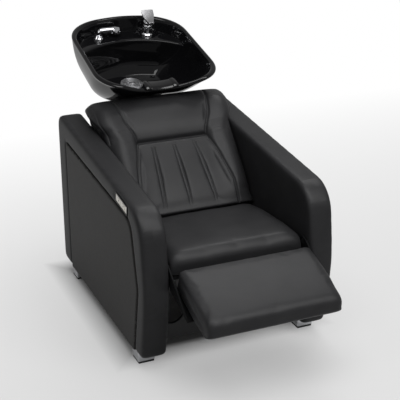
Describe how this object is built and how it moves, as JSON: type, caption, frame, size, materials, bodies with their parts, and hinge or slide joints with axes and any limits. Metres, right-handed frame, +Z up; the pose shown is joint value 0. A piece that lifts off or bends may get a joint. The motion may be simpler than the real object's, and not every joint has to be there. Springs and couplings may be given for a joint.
{
  "type": "salon backwash unit",
  "caption": "Upholstered salon shampoo chair with a powered swing-up leg rest and a tilting ceramic basin on a column, with mixer, hand shower and neck rest.",
  "frame": {"origin": "on the floor, under the middle of the unit's bounding box", "axes": "+Z up, -Y to the front (the sitter's feet), +X to the right seen from the front"},
  "size_m": [0.7, 1.457, 0.9559],
  "materials": {
    "black_upholstery": "soft sheen",
    "inset_upholstery": "soft sheen",
    "chrome": "polished",
    "black_rubber": "matt",
    "black_paint": "satin",
    "plywood": "raw",
    "black_board": "black film",
    "steel": "ground",
    "black_plastic": "matt",
    "silver_plate": "satin",
    "black_ceramic": "gloss glaze",
    "gel_rubber": "glossy",
    "brass": "turned"
  },
  "bodies": {
    "chair": {"left_arm": "black_upholstery", "right_arm": "black_upholstery", "left_arm_inset": "inset_upholstery", "right_arm_inset": "inset_upholstery", "left_hinge_stud": "steel", "right_hinge_stud": "steel", "front_left_foot": "chrome", "front_right_foot": "chrome", "rear_left_foot": "chrome", "rear_right_foot": "chrome", "front_left_foot_pad": "black_rubber", "front_right_foot_pad": "black_rubber", "rear_left_foot_pad": "black_rubber", "rear_right_foot_pad": "black_rubber", "front_cross_rail": "black_paint", "seat_cross_rail": "black_paint", "rear_tie_rail": "black_paint", "drive_cross_rail": "black_paint", "seat_board": "plywood", "kickboard": "black_board", "rear_panel": "black_board", "seat_cushion": "black_upholstery", "back_cushion": "black_upholstery", "back_board": "plywood", "lower_back_rail": "black_paint", "upper_back_rail": "black_paint", "actuator_tube": "steel", "actuator_gearbox": "black_plastic", "actuator_motor": "black_plastic", "control_bezel": "black_plastic", "control_plate": "silver_plate", "column": "black_paint", "column_cover": "black_paint", "column_base": "black_paint", "left_tilt_ear": "black_paint", "right_tilt_ear": "black_paint", "tilt_pin_rod": "steel"},
    "leg_rest": {"leg_rest_cushion": "black_upholstery", "leg_rest_board": "plywood", "left_hinge_plate": "black_paint", "right_hinge_plate": "black_paint", "left_slotted_lever": "black_paint", "right_slotted_lever": "black_paint"},
    "push_rod": {"push_rod": "steel", "push_pin": "steel"},
    "basin": {"basin": "black_ceramic", "neck_rest": "gel_rubber", "drain_strainer": "chrome", "basin_bracket": "black_paint", "drain_nut": "black_plastic", "drain_tail_pipe": "black_plastic", "mixer_body": "chrome", "mixer_nut": "brass", "shower_socket": "chrome", "shower_nut": "brass"},
    "mixer_cap": {"mixer_cap": "chrome"},
    "mixer_lever": {"mixer_lever": "chrome"},
    "hand_shower": {"hand_shower": "chrome"},
    "raise_button": {"raise_button": "black_plastic"},
    "lower_button": {"lower_button": "black_plastic"}
  },
  "joints": [
    {"name": "leg_rest_swing", "type": "hinge", "parent": "chair", "child": "leg_rest", "pos_m": [0, -0.412, 0.38], "axis": [1, 0, 0], "range_deg": [0, 70]},
    {"name": "push_rod_slide", "type": "slide", "parent": "chair", "child": "push_rod", "axis": [0, 1, 0], "range_m": [0, 0.1761]},
    {"name": "basin_tilt", "type": "hinge", "parent": "chair", "child": "basin", "pos_m": [0, 0.541, 0.621], "axis": [-1, 0, 0], "range_deg": [0, 15]},
    {"name": "mixer_turn", "type": "hinge", "parent": "basin", "child": "mixer_cap", "pos_m": [0.105, 0.6787, 0.8861], "axis": [0, -0.2588, 0.9659], "range_deg": [-40, 40]},
    {"name": "mixer_lift", "type": "hinge", "parent": "mixer_cap", "child": "mixer_lever", "pos_m": [0.105, 0.6837, 0.9454], "axis": [-1, 0, 0], "range_deg": [0, 25]},
    {"name": "hand_shower_lift", "type": "slide", "parent": "basin", "child": "hand_shower", "axis": [0, -0.2588, 0.9659], "range_m": [0, 0.12]},
    {"name": "raise_press", "type": "slide", "parent": "chair", "child": "raise_button", "axis": [1, 0, 0], "range_m": [0, 0.0015], "stiffness_N_per_m": 900},
    {"name": "lower_press", "type": "slide", "parent": "chair", "child": "lower_button", "axis": [1, 0, 0], "range_m": [0, 0.0015], "stiffness_N_per_m": 900}
  ],
  "couplings": [
    {"joint": "push_rod_slide", "follows": "leg_rest_swing", "m_per_rad": 0.14406}
  ]
}
